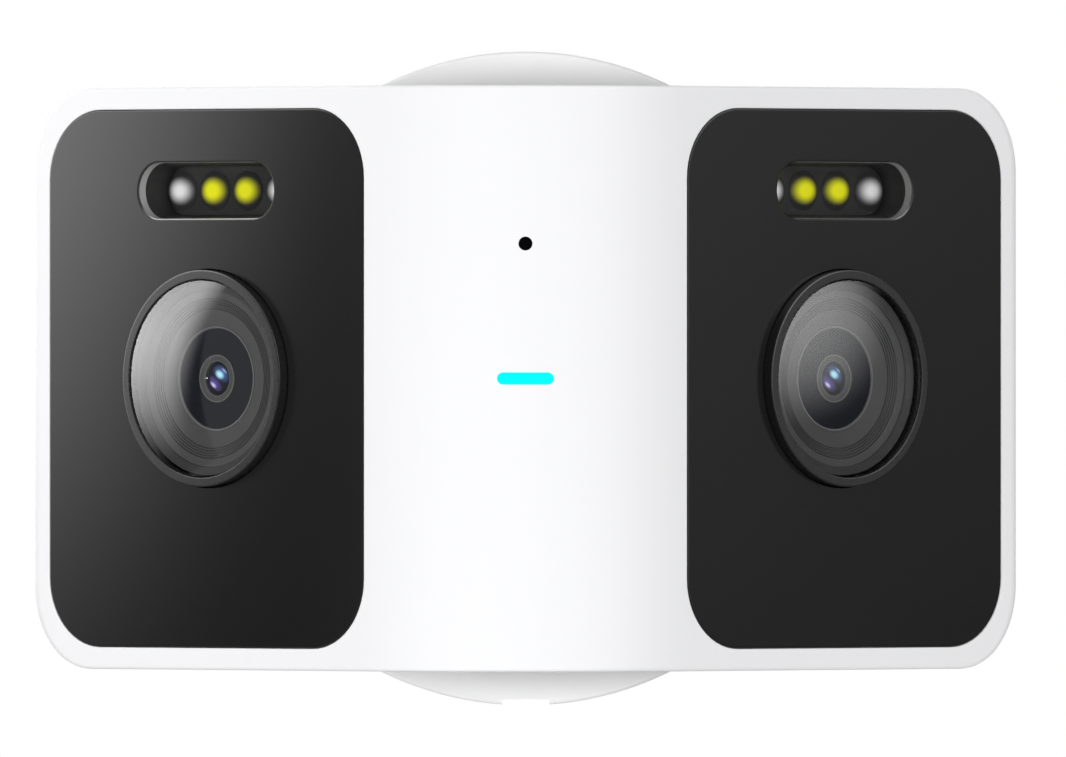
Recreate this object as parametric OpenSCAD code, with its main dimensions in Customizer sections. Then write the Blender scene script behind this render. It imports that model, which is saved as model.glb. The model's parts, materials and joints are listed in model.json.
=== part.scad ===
// Floodlight security camera. A wide head with two lenses and two light windows
// tilts on a neck, and the neck swivels in a round wall base.
// Frame: the origin is the middle of the base's back, on the wall. +X is to the
// right seen from the front, +Y goes into the wall and +Z is up. The camera
// looks along -Y. Left and right are as seen from the front.
// A wing's own frame: +X along the wing to its tip, +Y inwards (depth behind
// the wing's face) and +Z up, with the origin at the middle of the dark panel.

/* [Head] */
// Width of the head over its two tips
head_w = 177.3; // [170:0.1:185]
// Height of the head
head_h = 104.8; // [102:0.1:112]
// Angle that each wing turns back
wing_angle = 43; // [41:1:44]
// Radius of the nose between the wings
nose_r = 42; // [40:0.5:44]
// Reach of the nose from the wall
nose_reach = 134; // [132:0.5:138]
// Distance from the wall to the back of the head
head_back = 54; // [53:0.5:55]
// Distance from the wall to the seam of the two shells
seam_at = 62; // [61:0.5:63]
// Thickness of the shells
wall = 3; // [2.6:0.1:3.2]
// Radius of the wing's corners, seen square to the wing
corner_r = 15; // [12:0.5:18]
// Radius of the tip's front edge
tip_r = 2.5; // [1.5:0.1:2.8]
// Radius of the head's back edge at the tips
back_r = 8; // [5:0.5:10]

/* [Panels] */
// Width of each dark panel along the wing
panel_w = 77.8; // [74:0.1:78.5]
// Height of each dark panel
panel_h = 96.7; // [94:0.1:97]
// Corner radius of each dark panel
panel_r = 12.5; // [10:0.5:14]
// Thickness of each dark panel
panel_t = 1.6; // [1.2:0.1:1.6]
// Strip of white between the nose and the panel
panel_gap = 0.57; // [0.4:0.01:1]

/* [Lights] */
// Length of each light window's opening
light_w = 33.9; // [30:0.1:36]
// Height of each light window's opening
light_h = 10.5; // [9:0.1:11]
// Height of the light windows above the lenses
light_z = 33.8; // [33:0.1:35]
// Spacing of the four light-emitting diodes
led_pitch = 8.15; // [7:0.05:8.5]
// Radius of one diode
led_r = 2.2; // [1.8:0.1:2.4]

/* [Lenses] */
// Outer radius of the raised ring round each lens
ring_r = 19.5; // [19:0.1:19.6]
// How far the ring stands out of the panel
ring_out = 2; // [1:0.1:3]
// Radius of the clear dome
dome_r = 17.6; // [17.2:0.1:17.7]
// Height of the dome above its own rim
dome_h = 3.5; // [3:0.1:4]
// How far the lens sits from the panel's middle, towards the nose
lens_shift = 0.67; // [0:0.01:1.5]
// Radius of the lens barrel
barrel_r = 9; // [8.5:0.1:9.1]
// Radius of the front glass in the barrel
pupil_r = 2.9; // [2.5:0.1:3.2]
// Travel of the infrared cut filter
filter_travel = 7; // [6:0.1:7]

/* [Nose] */
// Length of the status light
status_w = 10.2; // [8:0.1:12]
// Height of the status light
status_h = 2.2; // [1.8:0.1:2.6]
// Radius of the microphone hole
mic_r = 1.25; // [1:0.05:1.5]
// Height of the microphone hole above the status light
mic_z = 24.1; // [22:0.1:26]

/* [Wall base] */
// Radius of the round base
base_r = 59.6; // [58:0.1:62]
// Depth of the round base
base_d = 22; // [22:0.1:22.2]
// Distance between the two wall screws, as on a standard junction box
screw_span = 88.9; // [80:0.1:89.5]
// Radius of a wall screw's hole
screw_hole_r = 2.4; // [2:0.1:2.6]
// Length of each screw slot between its end centres
slot_run = 7.2; // [4:0.1:8]
// Radius of the hole for the house wires
wire_r = 11; // [8:0.5:12]
// Width of the notch at the bottom of the base
notch_w = 8.8; // [6:0.1:12]
// Depth of that notch
notch_d = 1.1; // [0.6:0.1:1.6]

/* [Joints] */
// Distance from the wall to the tilt bolt
pivot_at = 40; // [39.5:0.5:40.5]
// Radius of the tilt bolt
bolt_r = 3; // [2.5:0.1:3.2]
// Radius of the hollow swivel stem
stem_r = 10.95; // [10:0.05:11]
// Radial clearance of a turning fit
fit = 0.05; // [0.03:0.01:0.08]
// Travel of the reset button
press = 0.4; // [0.3:0.1:0.5]

/* [Hidden] */
$fn = 72;
eps = 0.01;
c = cos(wing_angle);
s = sin(wing_angle);
nose_y = -(nose_reach - nose_r);
// Where the nose's arc meets the wing's straight face
tx = nose_r * s;
ty = nose_y - nose_r * c;
// Length of the wing's face, from that point to the sharp tip corner
tip_s = (head_w / 2 - tip_r - tx + tip_r * s) / c + tip_r;
// Middle of the panel, the wing frame's origin
panel_s = panel_gap + panel_w / 2;
px = tx + panel_s * c;
py = ty + panel_s * s;
half_h = head_h / 2;
seam_gap = 0.8;
seam_front = -seam_at - seam_gap / 2;
seam_rear = -seam_at + seam_gap / 2;
// The lens's glass dome is part of a sphere
dome_sphere = (dome_r * dome_r + dome_h * dome_h) / (2 * dome_h);
dome_t = 1.5;
dome_rim = -1.6;
ring_in = dome_r + 0.26;
ring_hole = ring_r + 0.2;
// Depths behind the wing's face
cup_end = 7;
board_t = 1.2;
plate_at = 8.2;
plate_t = 2;
box_end = 27;
chamber_at = 20;
chamber_end = 23;
carrier_w = 44;
carrier_hole = 23.5 * cos(45);
// Screw places, as x and z
case_spots = [for (x = [-66, -22, 22, 66], z = [-46.2, 46.2]) [x, z]];
bracket_spots = [for (x = [-17, 17], z = [-15, 15]) [x, z]];
board_spots = [for (x = [-38, 38], z = [-38, 38]) [x, z]];
carrier_spots = [for (x = [-1, 1], z = [-1, 1]) [x, z] * carrier_hole];
cover_spots = [[0, -48], [0, 48]];
power_spots = [for (x = [-26, 26], z = [-39, -20]) [x, z]];
main_y = -67;
main_t = 1.6;
port_y = -71;
button_x = 8;
button_y = -70.2;
hinge_y = -77.9;
hinge_z = -half_h + 0.8;
speaker_y = -96;
grommet_z = 30;

// ---- Shapes and places used again -------------------------------------

// A round bar along Y, from y0 to y1
module bar_y(r, y0, y1, x = 0, z = 0) {
  translate([x, y0, z]) rotate([-90, 0, 0]) cylinder(r = r, h = y1 - y0);
}

// A round bar along X, from x0 to x1
module bar_x(r, x0, x1, y = 0, z = 0) {
  translate([x0, y, z]) rotate([0, 90, 0]) cylinder(r = r, h = x1 - x0);
}

// A block given by its two corners
module block(a, b) {
  translate(a) cube(b - a);
}

// A flat shape drawn in X and Z, made thick from y0 to y1
module slab_y(y0, y1, x = 0, z = 0) {
  translate([x, y0, z]) rotate([-90, 0, 0]) linear_extrude(y1 - y0) children();
}

module rounded_rect(w, h, r) {
  square([w - 2 * r, h], center = true);
  square([w, h - 2 * r], center = true);
  for (i = [-1, 1], j = [-1, 1]) translate([i * (w / 2 - r), j * (h / 2 - r)]) circle(r);
}

module pill(w, h) {
  square([w - h, h], center = true);
  for (i = [-1, 1]) translate([i * (w - h) / 2, 0]) circle(h / 2);
}

// Points of an arc, from angle a0 to a1
function arc(x, y, r, a0, a1, n) =
  [for (i = [0:n]) let (a = a0 + (a1 - a0) * i / n) [x + r * cos(a), y + r * sin(a)]];

// Puts its children on a wing: side is 1 for the right and -1 for the left
module wing(side) {
  mirror([side < 0 ? 1 : 0, 0, 0]) translate([px, py, 0]) rotate([0, 0, wing_angle]) children();
}

module lens_axis() {
  translate([-lens_shift, 0, 0]) children();
}

// A countersunk or pan screw along Y: its head's top is at y and it goes to -Y
module screw(x, y, z, r, head_r, head_t, len) {
  difference() {
    union() {
      bar_y(head_r, y - head_t, y, x, z);
      bar_y(r, y - head_t - len, y - head_t + eps, x, z);
    }
    for (a = [0, 90])
      translate([x, y, z]) rotate([0, a, 0]) cube([head_r, head_t, head_r * 0.3], center = true);
  }
}

// ---- The head's outline -------------------------------------------------

// A point given along the wing's face (u) and behind it (d), in the plan
function on_wing(u, d) = [tx + u * c - d * s, ty + u * s + d * c];

// The right half of the plan, moved inwards by i
function half_plan(i) =
  let (f = max(tip_r - i, 0), m = max(tip_r, i))
  let (b_u = tip_s - back_r)
  let (b_d = (-head_back - back_r - ty - b_u * s) / c)
  let (b = on_wing(b_u, b_d))
  concat(
    [on_wing(0, i)],
    [for (p = arc(tip_s - m, m, f, -90, 0, f > 0 ? 4 : 1)) on_wing(p[0], p[1])],
    arc(b[0], b[1], back_r - i, wing_angle, 90, 6));

module head_plan(i) {
  half = half_plan(i);
  n = len(half);
  polygon(concat(half, [for (k = [n - 1:-1:0]) [-half[k][0], half[k][1]]]));
  intersection() {
    translate([0, nose_y]) circle(nose_r - i, $fn = 144);
    translate([-nose_r - 1, nose_y - nose_r - 1]) square([2 * nose_r + 2, nose_r + 1]);
  }
}

// What a wing's rounded corner leaves out
module corner_cut(i) {
  u = tip_s - corner_r - panel_s;
  z = half_h - corner_r;
  // A touch over the true radius, so that the surfaces cross and don't only graze
  translate([0, 60, 0]) rotate([90, 0, 0]) linear_extrude(90) difference() {
    translate([u, z]) square(corner_r + 10);
    translate([u, z]) circle(corner_r - i + 0.03);
  }
}

// The whole head moved inwards by i
module head_solid(i) {
  difference() {
    translate([0, 0, i - half_h]) linear_extrude(head_h - 2 * i) head_plan(i);
    for (side = [-1, 1], up = [0, 1]) mirror([0, 0, up]) wing(side) corner_cut(i);
  }
}

module between(y0, y1) {
  intersection() {
    children();
    block([-120, y0, -80], [120, y1, 80]);
  }
}

// ---- Head shells ----------------------------------------------------------

module wing_cuts() {
  slab_y(-5, panel_t + 0.1) rounded_rect(panel_w + 0.2, panel_h + 0.2, panel_r + 0.1);
  lens_axis() bar_y(ring_hole, -5, 8);
  slab_y(-5, 8, z = light_z) pill(light_w, light_h);
}

module carrier_bosses() {
  lens_axis() for (p = carrier_spots) difference() {
    bar_y(2.5, wall - 0.5, plate_at, p[0], p[1]);
    bar_y(0.85, 4, plate_at + 1, p[0], p[1]);
  }
}

module speaker_holes() {
  step = 4.2;
  for (i = [-3:3], j = [-3:3]) {
    x = (i + j / 2) * step;
    y = j * step * sin(60);
    if (x * x + y * y < 13 * 13)
      translate([x, speaker_y + y, -half_h - 1]) cylinder(r = 0.9, h = wall + 2, $fn = 24);
  }
}

// The guide that the reset button runs in, across one end of the service port
module button_guide() {
  block([4, -77.2, -half_h + wall - 0.5], [12, -65, -45.6]);
}

module service_port_cuts() {
  // Seat for the flap, then the opening behind it
  block([-15.2, -79, -half_h - 1], [15.2, -64.4, -half_h + 1.8]);
  block([-13, -76, -half_h - 1], [13, -66, -half_h + wall - 0.4]);
  block([-13, -76, -half_h + 1], [3, -66, -half_h + wall + 1]);
  bar_x(0.5 + fit, -17, 17, hinge_y, hinge_z);
  translate([button_x, button_y, -half_h]) cylinder(r = 1.4 + fit, h = 10);
}

module front_shell() {
  color("#f3f4f6") difference() {
    union() {
      difference() {
        between(-150, seam_front) head_solid(0);
        between(-150, seam_front + 1) head_solid(wall);
      }
      for (p = case_spots) bar_y(3.5, seam_front - 19, seam_front, p[0], p[1]);
      for (side = [-1, 1]) wing(side) carrier_bosses();
      for (x = [-11, 11], z = [-6, 28]) bar_y(2, -131, -123.6, x, z);
      button_guide();
      translate([0, speaker_y, -half_h + wall - 0.5]) difference() {
        cylinder(r = 20, h = 4.5);
        translate([0, 0, -1]) cylinder(r = 18.3, h = 6);
      }
    }
    for (side = [-1, 1]) wing(side) wing_cuts();
    for (p = case_spots) bar_y(1.45, seam_front - 16, seam_front + 1, p[0], p[1]);
    for (x = [-11, 11], z = [-6, 28]) bar_y(0.8, -128.5, -123, x, z);
    bar_y(mic_r, -140, -120, 0, mic_z);
    slab_y(-140, -120) pill(status_w, status_h);
    speaker_holes();
    service_port_cuts();
  }
}

module rear_shell() {
  back = -head_back;
  color("#f1f2f4") difference() {
    union() {
      difference() {
        between(seam_rear, 0) head_solid(0);
        between(seam_rear - 1, 0) head_solid(wall);
      }
      for (p = case_spots) bar_y(3.3, seam_rear, back - wall + 0.5, p[0], p[1]);
      for (p = bracket_spots) bar_y(3.5, back - 9, back - wall + 0.5, p[0], p[1]);
      for (p = board_spots) {
        bar_y(3, main_y, back - wall + 0.5, p[0], p[1]);
        bar_y(1.5, main_y - main_t - 0.8, main_y + 1, p[0], p[1]);
      }
    }
    for (p = case_spots) {
      bar_y(1.7, -70, 0, p[0], p[1]);
      bar_y(2.7, back - 2.4, 0, p[0], p[1]);
    }
    for (p = bracket_spots) bar_y(1.75, back - 8, back + 1, p[0], p[1]);
    bar_y(5, back - 6, 0, 0, grommet_z);
  }
}

module head_gasket() {
  color("#3a3b3d") difference() {
    between(seam_front, seam_rear) head_solid(0.8);
    between(seam_front - 1, seam_rear + 1) head_solid(2.2);
  }
}

module case_screws() {
  color("#8f9194") for (p = case_spots) screw(p[0], -head_back - 0.2, p[1], 1.4, 2.5, 2, 21);
}

// ---- Wing parts ---------------------------------------------------------

module panel() {
  color("#232325") difference() {
    slab_y(0, panel_t) rounded_rect(panel_w, panel_h, panel_r);
    lens_axis() bar_y(ring_hole, -1, 3);
    slab_y(-1, 3, z = light_z) pill(light_w, light_h);
  }
}

module light_cup() {
  color("#c9c9cb") difference() {
    union() {
      slab_y(0.1, cup_end, z = light_z) pill(light_w - 0.2, light_h - 0.2);
      slab_y(wall + 0.1, 4.4, z = light_z) rounded_rect(40, 16, 3);
    }
    slab_y(-1, cup_end + 1, z = light_z) pill(light_w - 1.8, light_h - 1.8);
  }
}

module light_window() {
  color("#dfe0e2", 0.6)
    slab_y(2.1, 3.3, z = light_z) pill(light_w - 1.9, light_h - 1.9);
}

module light_board() {
  color("#2f6b3f")
    slab_y(cup_end + 0.1, cup_end + 0.1 + board_t, z = light_z) rounded_rect(38, 14, 2);
}

module led(x) {
  bar_y(led_r, 5.4, cup_end + 0.1, x, light_z);
}

module white_leds() {
  color("#f5f5f0") for (side = [-1, 1]) wing(side) for (i = [-1.5, 1.5]) led(i * led_pitch);
}

module warm_leds() {
  color("#e0dc2c") for (side = [-1, 1]) wing(side) for (i = [-0.5, 0.5]) led(i * led_pitch);
}

module light_boards() {
  for (side = [-1, 1]) wing(side) light_board();
}

module lens_ring() {
  color("#303032") lens_axis() difference() {
    union() {
      bar_y(ring_r, -ring_out, plate_at - 0.1);
      bar_y(20.8, wall + 0.1, wall + 1.3);
    }
    bar_y(ring_in, -ring_out - 1, plate_at + 1);
  }
}

module dome_window() {
  y = dome_rim - dome_h + dome_sphere;
  color("#b7bcc4", 0.35) lens_axis() intersection() {
    translate([0, y, 0]) difference() {
      sphere(dome_sphere, $fn = 144);
      sphere(dome_sphere - dome_t, $fn = 144);
    }
    bar_y(dome_r, -10, 5);
  }
}

// A turned ring that steps down from the dome's rim to the barrel
module lens_hood() {
  r = barrel_r + 0.3;
  end = plate_at - 0.1;
  outline = [[r, 2.4], [11.8, 1.9], [12.2, 1.5], [13, 1.5], [13.4, 1.2], [14.2, 1.2],
    [14.6, 0.9], [15.3, 0.9], [15.3, 0.5], [17.4, 0.3], [17.4, end], [16.2, end],
    [16.2, 3], [11, 4.4], [11, end], [r, end]];
  color("#202123") lens_axis() rotate([-90, 0, 0]) rotate_extrude() polygon(outline);
}

module lens_barrel() {
  color("#151517") lens_axis() difference() {
    bar_y(barrel_r, 2.2, 19);
    translate([0, 2.1, 0]) rotate([-90, 0, 0]) cylinder(r1 = 4.3, r2 = pupil_r + 0.1, h = 1.4);
    bar_y(pupil_r + 0.05, 2, 6);
    bar_y(6, 5, 20);
  }
}

module lens_glass() {
  color("#33507c", 0.7) lens_axis() {
    bar_y(pupil_r, 3.5, 4.9);
    for (y = [6, 10.5, 15]) bar_y(5.9, y, y + 2.2);
  }
}

module lens_carrier() {
  w = 28;
  h = 24;
  color("#3b3c3f") lens_axis() difference() {
    union() {
      slab_y(plate_at, plate_at + plate_t) rounded_rect(carrier_w, carrier_w, 4);
      slab_y(plate_at + plate_t - eps, box_end) square([w, h], center = true);
    }
    bar_y(barrel_r + fit, plate_at - 1, 19.2);
    bar_y(7, 19, chamber_at + 0.5);
    block([3.9 - 15.3, chamber_at, -5], [3.9 + 7.5, chamber_end, 5]);
    block([-5, chamber_end - 0.5, -4.5], [5, box_end + 1, 4.5]);
    for (p = carrier_spots) bar_y(1.1, plate_at - 1, plate_at + 3, p[0], p[1]);
  }
}

// A frame with two filters side by side, one of which is in front of the sensor
module ir_cut_filter() {
  mid = -filter_travel / 2;
  y = (chamber_at + chamber_end) / 2;
  color("#7d3f6a") lens_axis() difference() {
    block([mid - 7.5, y - 0.5, -4.5], [mid + 7.5, y + 0.5, 4.5]);
    for (x = [-filter_travel, 0]) {
      bar_y(3.1, y - 1, y - 0.15, x);
      bar_y(3.1, y + 0.15, y + 1, x);
    }
  }
}

module carrier_screws() {
  color("#8f9194") for (side = [-1, 1]) wing(side) lens_axis() for (p = carrier_spots)
    screw(p[0], plate_at + plate_t + 1.5, p[1], 0.8, 1.7, 1.4, 5);
}

module sensor_boards() {
  color("#2f6b3f") for (side = [-1, 1]) wing(side) lens_axis()
    slab_y(box_end + 0.2, box_end + 0.2 + board_t) rounded_rect(30, 30, 2);
}

module image_sensors() {
  color("#2b3550") for (side = [-1, 1]) wing(side) lens_axis()
    block([-4, box_end - 0.8, -3.5], [4, box_end + 0.2, 3.5]);
}

// ---- Nose parts -----------------------------------------------------------

module status_light_pipe() {
  color("#00e5e5") union() {
    between(-150, -125.2) intersection() {
      slab_y(-140, -120) pill(status_w - 0.1, status_h - 0.1);
      translate([0, nose_y, -5]) cylinder(r = nose_r, h = 10, $fn = 144);
    }
    block([-6.5, -130.2, -2.5], [6.5, -129, 2.5]);
  }
}

module indicator_board() {
  color("#2f6b3f") union() {
    difference() {
      block([-14, -123.6, -10], [14, -122.4, 32]);
      for (x = [-11, 11], z = [-6, 28]) bar_y(0.9, -125, -120, x, z);
    }
    block([-1.6, -124.8, -0.8], [1.6, -123.59, 0.8]);
    block([-9, -122.41, 8], [9, -118.4, 13]);
  }
}

module microphone() {
  color("#b9babd") bar_y(3, -125.6, -123.6, 0, mic_z);
}

module microphone_boot() {
  color("#2a2a2c") difference() {
    bar_y(4, -130.6, -123.6, 0, mic_z);
    bar_y(1.3, -131, -125, 0, mic_z);
    bar_y(3.05, -125.7, -123, 0, mic_z);
  }
}

// ---- Electronics in the head -----------------------------------------------

module main_board() {
  color("#1f5c3a") difference() {
    slab_y(main_y - main_t, main_y) rounded_rect(84, 84, 3);
    for (p = board_spots) bar_y(1.55, -80, -60, p[0], p[1]);
  }
}

module main_board_chips() {
  y = main_y - main_t;
  color("#1b1b1d") {
    block([-9, y - 1.8, -6], [9, y, 12]);
    block([-26, y - 1.2, 2], [-14, y, 14]);
    block([14, y - 1.2, 2], [26, y, 14]);
    block([-28, y - 3, 26], [-12, y, 34]);
    block([12, y - 3, 26], [28, y, 34]);
    for (x = [16, 23]) bar_y(2.8, y - 3, y, x, -16);
  }
}

module heat_spreader() {
  color("#b3b5b8") union() {
    block([-28, main_y + 0.1, -24], [28, main_y + 2.1, 18]);
    for (x = [-12:4:12]) block([x - 0.6, main_y + 2, -17], [x + 0.6, -58.5, 17]);
  }
}

module antennas() {
  color("#8a6a2c") for (m = [0, 1]) mirror([m, 0, 0])
    block([30, -76, half_h - wall - 0.8], [56, -66, half_h - wall - 0.1]);
}

module speaker() {
  color("#2c2c2e") translate([0, speaker_y, -half_h + wall + 0.1]) union() {
    difference() {
      cylinder(r = 18, h = 5);
      translate([0, 0, -1]) cylinder(r = 15, h = 2.2);
    }
    translate([0, 0, 1.8]) cylinder(r = 12, h = 7.5);
  }
}

module card_socket() {
  y = main_y - main_t;
  color("#a9abae") difference() {
    block([-12, y - 3, -42], [2, y, -27]);
    block([-10.7, y - 2.1, -43], [0.7, y - 0.9, -30]);
  }
}

module memory_card() {
  y = main_y - main_t;
  color("#1d1d1f") block([-10.5, y - 1.9, -45.5], [0.5, y - 1.1, -30.5]);
}

module service_flap() {
  z = -half_h;
  color("#f1f2f4") union() {
    block([-14.8, hinge_y, z + 0.1], [14.8, -64.8, z + 1.5]);
    bar_x(0.7, -14.8, 14.8, hinge_y, hinge_z);
    bar_x(0.5, -16.5, 16.5, hinge_y, hinge_z);
    difference() {
      block([-12.4, -75.4, z + 1.4], [12.4, -66.6, z + 2.4]);
      block([-11.4, -74.4, z + 1.5], [11.4, -67.6, z + 3]);
    }
  }
}

module reset_button() {
  color("#3c3c3f") translate([button_x, button_y, 0]) union() {
    translate([0, 0, -49]) cylinder(r = 1.4, h = 4.4);
    translate([0, 0, -45.3]) cylinder(r = 2.2, h = 0.7);
  }
}

module reset_switch() {
  y = main_y - main_t;
  color("#4a4a4e") union() {
    block([button_x - 3, y - 3.2, -43.6], [button_x + 3, y, -38]);
    translate([button_x, button_y, -44]) cylinder(r = 1.2, h = 1);
  }
}

// ---- Bracket, neck and base --------------------------------------------------

// A lug from x0 to x1 round the tilt bolt, that runs back to "to" from the bolt
module lug(r, to, x0, x1) {
  translate([x0, -pivot_at, 0]) rotate([90, 0, 90]) linear_extrude(x1 - x0) {
    circle(r);
    translate([min(0, to), -r]) square([abs(to), 2 * r]);
  }
}

module head_bracket() {
  color("#e6e7e9") difference() {
    union() {
      slab_y(-head_back, -head_back + 3) rounded_rect(44, 40, 5);
      lug(8.5, pivot_at - head_back + 2, -8, 8);
    }
    bar_x(bolt_r + fit, -20, 20, -pivot_at, 0);
    for (p = bracket_spots) bar_y(1.9, -60, -40, p[0], p[1]);
  }
}

module bracket_screws() {
  color("#8f9194") for (p = bracket_spots) screw(p[0], -head_back + 5.1, p[1], 1.7, 3, 2.1, 10);
}

module cable_grommet() {
  y = -head_back;
  color("#2a2a2c") difference() {
    union() {
      bar_y(4.95, y - wall, y, 0, grommet_z);
      bar_y(6.5, y, y + 2, 0, grommet_z);
      bar_y(6.5, y - wall - 1.5, y - wall, 0, grommet_z);
    }
    bar_y(2.6, y - 10, y + 10, 0, grommet_z);
  }
}

module neck_knuckle() {
  front = -27;
  rear = -(base_d + 0.3);
  color("#e9eaec") difference() {
    union() {
      bar_y(22, front + 1, rear);
      bar_y(21, front, front + 1.01);
      bar_y(stem_r, rear - 1, -12);
      for (x = [-14, 9]) lug(9, pivot_at + front + 1, x, x + 5);
    }
    bar_y(7, -30, 0);
    bar_x(bolt_r + fit, -20, 20, -pivot_at, 0);
  }
}

module tilt_bolt() {
  color("#9a9ca0") union() {
    bar_x(bolt_r, -14.5, 20, -pivot_at, 0);
    translate([-18, -pivot_at, 0]) rotate([0, 90, 0]) cylinder(r = 5.4, h = 3.95, $fn = 6);
  }
}

module tilt_nut() {
  color("#9a9ca0") difference() {
    translate([14.05, -pivot_at, 0]) rotate([0, 90, 0]) cylinder(r = 5.4, h = 4.5, $fn = 6);
    bar_x(bolt_r + fit, 10, 30, -pivot_at, 0);
  }
}

module tilt_washers() {
  color("#4a4b4e") for (x = [-8.95, 8.05]) difference() {
    bar_x(7, x, x + 0.9, -pivot_at, 0);
    bar_x(bolt_r + fit, -20, 20, -pivot_at, 0);
  }
}

module swivel_nut() {
  color("#7f8286") difference() {
    union() {
      translate([0, -18.9, 0]) rotate([-90, 0, 0]) cylinder(r = 15.5, h = 4, $fn = 6);
      bar_y(17, -19.4, -18.89);
    }
    bar_y(stem_r + fit, -25, 0);
  }
}

module base_cover() {
  e = 0.8;
  outline = concat(
    [[base_r, 1]],
    arc(base_r - e, base_d - e, e, 0, 90, 6),
    [[stem_r + fit, base_d], [stem_r + fit, base_d - 2.5], [base_r - 2.5, base_d - 2.5],
      [base_r - 2.5, 1]]);
  color("#f0f0f1") difference() {
    union() {
      rotate([90, 0, 0]) rotate_extrude($fn = 180) polygon(outline);
      for (p = cover_spots) bar_y(5, -base_d + 0.5, -base_d + 4.5, p[0], p[1]);
    }
    for (p = cover_spots) {
      bar_y(3.8, -base_d - 1, -base_d + 1.6, p[0], p[1]);
      bar_y(1.8, -base_d - 1, 0, p[0], p[1]);
    }
    block([-notch_w / 2, -base_d - 1, -base_r - 2], [notch_w / 2, 0, -base_r + notch_d]);
  }
}

module base_plate() {
  run = slot_run;
  color("#b9bbbe") difference() {
    bar_y(55, -2, 0);
    bar_y(wire_r, -3, 1);
    for (side = [-1, 1]) slab_y(-3, 1, x = side * screw_span / 2)
      pill(run + 2 * screw_hole_r, 2 * screw_hole_r);
  }
}

// Posts on the plate: two for the cover's screws, four for the power board
module base_posts() {
  color("#b9bbbe") {
    for (p = cover_spots) difference() {
      bar_y(4, -base_d + 4.6, -2, p[0], p[1]);
      bar_y(1.45, -30, -4, p[0], p[1]);
    }
    for (p = power_spots) bar_y(2, -10.4, -2, p[0], p[1]);
  }
}

module base_gasket() {
  color("#2f3032") difference() {
    bar_y(base_r - 0.4, -1, 0);
    bar_y(base_r - 3, -2, 1);
    block([-notch_w / 2, -2, -base_r - 2], [notch_w / 2, 1, -base_r + notch_d]);
  }
}

module cover_screws() {
  color("#8f9194") for (p = cover_spots) translate([0, -base_d + 0.1, 0]) mirror([0, 1, 0])
    screw(p[0], 0, p[1], 1.4, 3.5, 1.4, 14);
}

module power_board() {
  color("#2f6b3f") difference() {
    slab_y(-12, -10.4, z = -29.5) rounded_rect(66, 27, 2);
    for (p = power_spots) bar_y(1, -20, 0, p[0], p[1]);
  }
}

module power_parts() {
  color("#d9b544") {
    block([-9, -18.4, -40], [9, -12, -24]);
    for (x = [-18, 18]) bar_y(4, -18.4, -12, x, -32);
    block([-30, -16, -26], [-24, -12, -22.5]);
    block([24, -16, -26], [30, -12, -22.5]);
  }
}

module terminal_block() {
  color("#33363a") difference() {
    block([-15, -12, 22], [15, -2, 34]);
    for (x = [-9, 0, 9]) {
      translate([x, -7, 20]) cylinder(r = 2, h = 6);
      bar_y(2, -13, -9, x, 29);
    }
  }
}

// ---- Nodes ----------------------------------------------------------------

front_shell();
rear_shell();
head_gasket();
case_screws();
wing(-1) panel();  // left_panel
wing(1) panel();  // right_panel
wing(-1) light_window();  // left_light_window
wing(1) light_window();  // right_light_window
wing(-1) light_cup();  // left_light_cup
wing(1) light_cup();  // right_light_cup
light_boards();
white_leds();
warm_leds();
wing(-1) lens_ring();  // left_lens_ring
wing(1) lens_ring();  // right_lens_ring
wing(-1) dome_window();  // left_dome_window
wing(1) dome_window();  // right_dome_window
wing(-1) lens_hood();  // left_lens_hood
wing(1) lens_hood();  // right_lens_hood
wing(-1) lens_barrel();  // left_lens_barrel
wing(1) lens_barrel();  // right_lens_barrel
wing(-1) lens_glass();  // left_lens_glass
wing(1) lens_glass();  // right_lens_glass
wing(-1) lens_carrier();  // left_lens_carrier
wing(1) lens_carrier();  // right_lens_carrier
wing(-1) ir_cut_filter();  // left_ir_cut_filter
wing(1) ir_cut_filter();  // right_ir_cut_filter
carrier_screws();
sensor_boards();
image_sensors();
status_light_pipe();
indicator_board();
microphone();
microphone_boot();
main_board();
main_board_chips();
heat_spreader();
antennas();
speaker();
card_socket();
memory_card();
service_flap();
reset_button();
reset_switch();
head_bracket();
bracket_screws();
cable_grommet();
neck_knuckle();
tilt_bolt();
tilt_nut();
tilt_washers();
swivel_nut();
base_cover();
base_plate();
base_posts();
base_gasket();
cover_screws();
power_board();
power_parts();
terminal_block();
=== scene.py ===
"""The looks of the floodlight security camera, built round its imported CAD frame.

Everything is in metres in the frame's own axes: +X right, +Y into the wall, +Z up.
A wing's own axes are u (along the wing to its tip), d (depth behind its face) and z.
"""

import json
import math
from collections import namedtuple

import bmesh
import bpy
from mathutils import Matrix, Vector

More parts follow.
